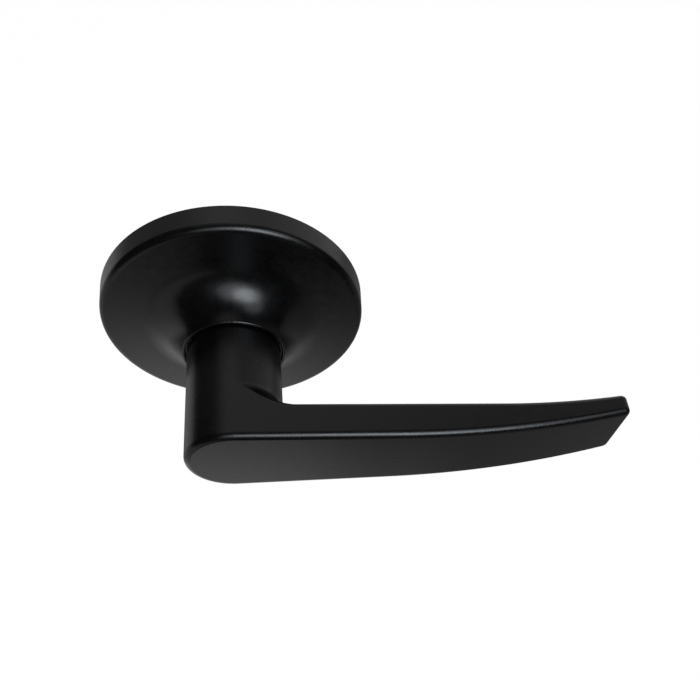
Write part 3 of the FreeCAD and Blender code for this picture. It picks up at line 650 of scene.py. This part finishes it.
@dataclass
class Floor:
    """The round pale floor. A gloss shows a painted pool of light on it, below and in front of the
    rose.
    """

    drop: float = 0.26
    reach: float = 1.2
    corners: int = 96
    colour: Colour = (0.86, 0.86, 0.86)
    roughness: float = 0.9
    glow: float = 0.95
    # The pool and the strips are painted light: a glow on the floor that only glossy rays see.
    pool_place: Place = (-0.03, -0.09, -0.26)
    pool_inner: float = 0.05
    pool_outer: float = 0.22
    pool_light: float = 1.0
    right_light: float = 0.19
    right_start: float = 0.08
    right_end: float = 0.13
    left_light: float = 0.45
    left_start: float = 0.0
    left_end: float = -0.30

    def build(self) -> None:
        """Adds the floor well below the part and gives it its material."""
        deselect_all()
        bpy.ops.mesh.primitive_circle_add(vertices=self.corners, radius=self.reach,
                                          fill_type="NGON", location=(0.0, 0.0, -self.drop))
        floor = bpy.context.active_object
        floor.name = "studio_floor"
        settle(floor)
        floor.data.materials.append(self.material())

    def material(self) -> bpy.types.Material:
        """A matt floor that shows white, and that a gloss shows with its painted pool of light.

        Returns:
            The material.
        """
        board = Finish("floor_pale")
        board.set(Base_Color=(*self.colour, 1.0), Roughness=self.roughness)
        # Glossy rays see the floor glow with painted light, the pool and the strips, instead of its
        # lit colour.
        glossy = board.rays("Is Glossy Ray")
        light = board.add("ShaderNodeEmission")
        board.join(board.masked(self.pool(board), glossy), light.inputs["Strength"])
        seen = board.rays("Is Camera Ray", "Is Transmission Ray")
        seen = board.combine("MULTIPLY", seen, self.glow)
        share = board.combine("MAXIMUM", seen, glossy)
        result = board.mixed(share, board.shader.outputs[0], light.outputs[0])
        board.join(result, board.tree.nodes["Material Output"].inputs["Surface"])
        return board.material

    def pool(self, board: Finish) -> Socket:
        """How bright the floor's painted glow is at each place: the painted pool of light, and a
        painted bright strip on either side of it.

        Args:
            board: The floor's node tree.

        Returns:
            The brightness.
        """
        away = board.measured("DISTANCE", board.place, self.pool_place)
        pool = board.spread(away, self.pool_light, 0.0, self.pool_inner, self.pool_outer,
                            eased=True)
        split = board.add("ShaderNodeSeparateXYZ")
        board.join(board.place, split.inputs[0])
        along = split.outputs["X"]
        right = board.spread(along, 0.0, self.right_light, self.right_start, self.right_end,
                             eased=True)
        left = board.spread(along, 0.0, self.left_light, self.left_start, self.left_end,
                            eased=True)
        return board.combine("ADD", pool, board.combine("ADD", right, left))


@dataclass
class Backdrop:
    """The world: white where it is seen. A gloss shows it brightest behind the part and above."""

    fill: float = 0.9
    fill_colour: Colour = (0.97, 0.98, 1.0)
    bright_side: Place = (0.2, 1.0, 0.0)
    dark_below: float = 0.40
    bright: float = 0.85
    dim: float = 0.02
    high_side: Place = (-0.15, 0.40, 0.90)
    high_start: float = 0.86
    high_glow: float = 0.38

    def build(self) -> None:
        """Makes the world and gives it to the scene."""
        world = bpy.data.worlds.new("studio")
        world.use_nodes = True
        bpy.context.scene.world = world
        board = Board(world.node_tree)
        seen = board.tree.nodes["Background"]
        seen.inputs["Color"].default_value = WHITE
        strength = board.masked(self.backdrop(board), board.rays("Is Glossy Ray"))
        board.join(strength, seen.inputs["Strength"])
        fill = board.add("ShaderNodeBackground", Color=(*self.fill_colour, 1.0), Strength=self.fill)
        share = board.rays("Is Camera Ray", "Is Glossy Ray", "Is Transmission Ray")
        result = board.mixed(share, fill.outputs[0], seen.outputs[0])
        board.join(result, board.tree.nodes["World Output"].inputs["Surface"])

    def backdrop(self, board: Board) -> Socket:
        """How bright the world is in each direction.

        Args:
            board: The world's node tree.

        Returns:
            The brightness.
        """
        direction = board.add("ShaderNodeTexCoord").outputs["Generated"]
        behind = board.measured("DOT_PRODUCT", direction, self.bright_side)
        behind = board.spread(behind, self.dim, self.bright, self.dark_below, 1.0)
        above = board.measured("DOT_PRODUCT", direction, self.high_side)
        above = board.spread(above, 0.0, self.high_glow, self.high_start, 1.0, eased=True)
        return board.combine("ADD", behind, above)


@dataclass(frozen=True)
class Lamp:
    """A round soft lamp that faces the part. Its azimuth and elevation are degrees."""

    name: str
    azimuth: float
    elevation: float
    distance: float
    width: float
    radiance: float
    colour: Colour
    aim: Place = (0.01, -0.03, 0.0)

    def build(self) -> None:
        """Adds the lamp. Azimuth 0 stands in front of the rose, and 90 on its +X side."""
        turn, lift = math.radians(self.azimuth), math.radians(self.elevation)
        level = Vector((math.sin(turn), -math.cos(turn), 0.0))
        back = level * math.cos(lift) + Vector((0.0, 0.0, math.sin(lift)))
        area = math.pi * self.width ** 2 / 4
        data = bpy.data.lights.new(self.name, "AREA")
        data.shape = "DISK"
        data.size = self.width
        # A flat lamp's power is its radiance times pi times its area.
        data.energy = self.radiance * math.pi * area
        data.color = self.colour
        lamp = bpy.data.objects.new(self.name, data)
        bpy.context.scene.collection.objects.link(lamp)
        lamp.location = Vector(self.aim) + back * self.distance
        lamp.rotation_mode = "QUATERNION"
        lamp.rotation_quaternion = (-back).to_track_quat("-Z", "Y")
        lamp.visible_camera = False


LAMPS = (
    Lamp("key", azimuth=23.5, elevation=41.0, distance=1.2, width=0.72, radiance=6.0,
         colour=(0.86, 0.93, 1.0)),
    Lamp("side", azimuth=58.0, elevation=50.0, distance=1.2, width=0.75, radiance=1.3,
         colour=(0.88, 0.94, 1.0)),
    Lamp("soft", azimuth=4.0, elevation=38.0, distance=1.2, width=0.95, radiance=1.7,
         colour=(0.93, 0.96, 1.0)),
)


@dataclass(frozen=True)
class ViewPoint:
    """The camera that takes the photograph's view.

    Its angles are degrees. Its focal length, centre and picture are pixels of the photograph, and
    its sensor is millimetres wide.
    """

    place: Place = (0.00869, -0.17440, 0.20233)
    pitch: float = 58.899
    yaw: float = 13.131
    roll: float = 9.726
    focal: float = 744.87
    centre: tuple[float, float] = (350.72, 438.55)
    picture: float = 700.0
    sensor: float = 36.0
    nearest: float = 0.01
    farthest: float = 20.0

    def build(self) -> None:
        """Adds the camera, looking down at the part, and makes it the scene's own."""
        pitch, yaw, roll = (math.radians(angle) for angle in (self.pitch, self.yaw, self.roll))
        forward = Vector((math.sin(yaw), math.cos(yaw), 0.0))
        ahead = forward * math.cos(pitch) - Vector((0.0, 0.0, math.sin(pitch)))
        level = Vector((math.cos(yaw), -math.sin(yaw), 0.0))
        over = level.cross(ahead)
        right = level * math.cos(roll) + over * math.sin(roll)
        up = over * math.cos(roll) - level * math.sin(roll)
        data = bpy.data.cameras.new("photo_view")
        data.sensor_width = self.sensor
        data.lens = self.focal * self.sensor / self.picture
        data.shift_x = (self.picture / 2 - self.centre[0]) / self.picture
        data.shift_y = (self.centre[1] - self.picture / 2) / self.picture
        data.clip_start = self.nearest
        data.clip_end = self.farthest
        camera = bpy.data.objects.new("photo_view", data)
        bpy.context.scene.collection.objects.link(camera)
        camera.matrix_world = Matrix((
            (right.x, up.x, -ahead.x, self.place[0]),
            (right.y, up.y, -ahead.y, self.place[1]),
            (right.z, up.z, -ahead.z, self.place[2]),
            (0.0, 0.0, 0.0, 1.0),
        ))
        bpy.context.scene.camera = camera


def main() -> None:
    """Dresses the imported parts, adds the fine pieces and sets up the studio and the view."""
    logging.basicConfig(level=logging.INFO, format="%(name)s: %(message)s")
    bpy.context.scene.view_settings.view_transform = "Standard"
    paint = Paintbox()
    paint.dress_frame()
    for node in ("bolt_post_upper", "bolt_post_lower"):
        thread = PostThread(node).build(paint)
        LOG.info("piece %s has %d faces", thread.name, len(thread.data.polygons))
    Floor().build()
    Backdrop().build()
    for lamp in LAMPS:
        lamp.build()
    LOG.info("studio has %d lamps", len(LAMPS))
    ViewPoint().build()


if __name__ == "__main__":
    main()
